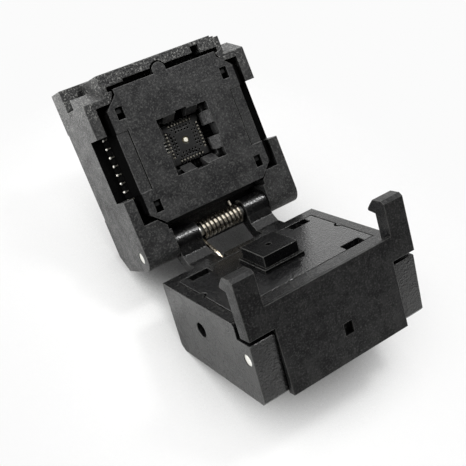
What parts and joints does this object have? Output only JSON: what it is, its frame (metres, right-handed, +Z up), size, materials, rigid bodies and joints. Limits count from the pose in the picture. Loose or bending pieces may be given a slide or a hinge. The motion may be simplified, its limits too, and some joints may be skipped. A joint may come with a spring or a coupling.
{
  "type": "zif socket",
  "caption": "Clamshell test socket with contact rows round a sprung floating nest, a spring-opened lid with a pressure plate and pusher, and a two-hook latch.",
  "frame": {"origin": "centre of the contact pattern at the board seating plane", "axes": "+Z up from the board, +Y towards the hinge, +X the side of the left wall when seen from above with the hinge at the bottom"},
  "size_m": [0.026, 0.0448, 0.0382],
  "materials": {
    "housing_plastic": "fine moulded texture",
    "nest_plastic": "fine moulded texture",
    "contact_alloy": "thin gold plate",
    "gold_plate": "gold plated",
    "spring_steel": "drawn wire",
    "pin_steel": "ground",
    "screw_steel": "dark"
  },
  "bodies": {
    "base": {"base_housing": "housing_plastic", "contact_carrier": "housing_plastic", "contacts_left": "contact_alloy", "contacts_back": "contact_alloy", "contacts_right": "contact_alloy", "contacts_front": "contact_alloy", "ground_barrel": "gold_plate", "ground_spring": "spring_steel", "nest_springs": "spring_steel", "hinge_pin": "pin_steel", "hinge_spring": "spring_steel"},
    "nest": {"floating_nest": "nest_plastic"},
    "ground_pin": {"ground_plunger": "gold_plate"},
    "lid": {"lid_housing": "housing_plastic", "latch_pin": "pin_steel", "latch_springs": "spring_steel", "pressure_springs": "spring_steel"},
    "pressure": {"pressure_plate": "nest_plastic", "pusher": "nest_plastic", "pusher_screw": "screw_steel"},
    "latch": {"latch": "nest_plastic"}
  },
  "joints": [
    {"name": "lid_hinge", "type": "hinge", "parent": "base", "child": "lid", "pos_m": [0, 0.01274, 0.00923], "axis": [-1, 0, 0], "range_deg": [-104.7, 0], "stiffness_Nm_per_rad": 0.005, "springref_deg": 34.38, "deforming": ["hinge_spring"]},
    {"name": "latch_pivot", "type": "hinge", "parent": "lid", "child": "latch", "pos_m": [0, 0.02556, 0.03104], "axis": [-1, 0, 0], "range_deg": [0, 14], "stiffness_Nm_per_rad": 0.002, "springref_deg": -28.65, "deforming": ["latch_springs"]},
    {"name": "nest_slide", "type": "slide", "parent": "base", "child": "nest", "axis": [0, 0, 1], "range_m": [-0.0008, 0], "stiffness_N_per_m": 100, "springref_m": 0.004, "deforming": ["nest_springs"]},
    {"name": "ground_pin_slide", "type": "slide", "parent": "base", "child": "ground_pin", "axis": [0, 0, 1], "range_m": [-0.0004, 0], "stiffness_N_per_m": 2, "springref_m": 0.01, "deforming": ["ground_spring"]},
    {"name": "pressure_slide", "type": "slide", "parent": "lid", "child": "pressure", "axis": [0, 0.9673, -0.2538], "range_m": [0, 0.0007], "stiffness_N_per_m": 100, "springref_m": -0.01, "deforming": ["pressure_springs"]}
  ]
}
